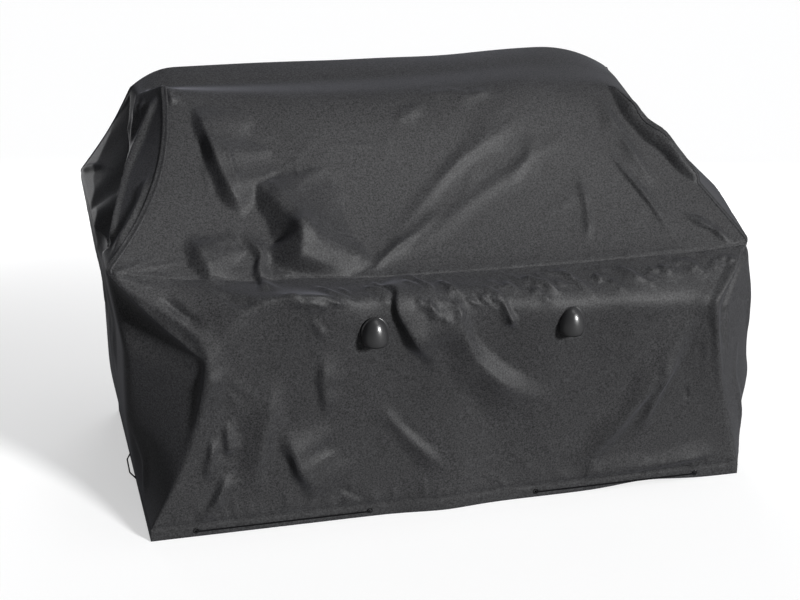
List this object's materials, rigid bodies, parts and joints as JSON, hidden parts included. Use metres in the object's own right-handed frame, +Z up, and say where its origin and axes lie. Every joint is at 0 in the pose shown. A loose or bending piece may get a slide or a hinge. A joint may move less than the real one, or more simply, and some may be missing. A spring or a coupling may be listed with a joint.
{
  "type": "grill cover",
  "caption": "Fitted woven cloth cover for a large grill: raised hood, sloping ends, bulging front with air vents, skirt to the floor with a drawcord hem.",
  "frame": {"origin": "middle of the footprint, on the floor", "axes": "+X to the right seen from the front, along the longest side; +Y to the rear; +Z up; the vented front faces -Y"},
  "size_m": [1.89, 1.0016, 1.19],
  "materials": {
    "cover_cloth": "fine woven, slight sheen",
    "hem_cloth": "fine woven, slight sheen",
    "seam_tape": "satin film",
    "cord": "braided",
    "eyelet_metal": "black enamel, satin",
    "vent_plastic": "satin moulded",
    "screen": "matte",
    "lock_plastic": "fine moulded texture",
    "lock_button": "satin moulded",
    "spring_steel": "drawn wire"
  },
  "bodies": {
    "cover": {"top_panel": "cover_cloth", "gusset_left": "cover_cloth", "gusset_right": "cover_cloth", "skirt_front": "cover_cloth", "skirt_left": "cover_cloth", "skirt_right": "cover_cloth", "skirt_back": "cover_cloth", "hem_front": "hem_cloth", "hem_left": "hem_cloth", "hem_right": "hem_cloth", "hem_back": "hem_cloth", "eyelet_grommets": "eyelet_metal", "eyelet_washers": "eyelet_metal", "drawcord": "cord", "vent_hood_left": "vent_plastic", "vent_hood_right": "vent_plastic", "vent_ring_left": "vent_plastic", "vent_ring_right": "vent_plastic", "vent_screen_left": "screen", "vent_screen_right": "screen", "waist_seam_tape": "seam_tape", "gusset_tape_front_left": "seam_tape", "gusset_tape_front_right": "seam_tape", "gusset_tape_rear_left": "seam_tape", "gusset_tape_rear_right": "seam_tape", "cord_end": "lock_plastic"},
    "cord_lock": {"cord_lock_body": "lock_plastic", "cord_lock_spring": "spring_steel"},
    "lock_button": {"cord_lock_plunger": "lock_button"}
  },
  "joints": [
    {"name": "cord_lock_slide", "type": "slide", "parent": "cover", "child": "cord_lock", "axis": [1, 0, 0], "range_m": [0, 0.09]},
    {"name": "cord_lock_press", "type": "slide", "parent": "cord_lock", "child": "lock_button", "axis": [0, 0, -1], "range_m": [0, 0.004], "stiffness_N_per_m": 800, "springref_m": -0.002, "deforming": ["cord_lock_spring"]}
  ]
}
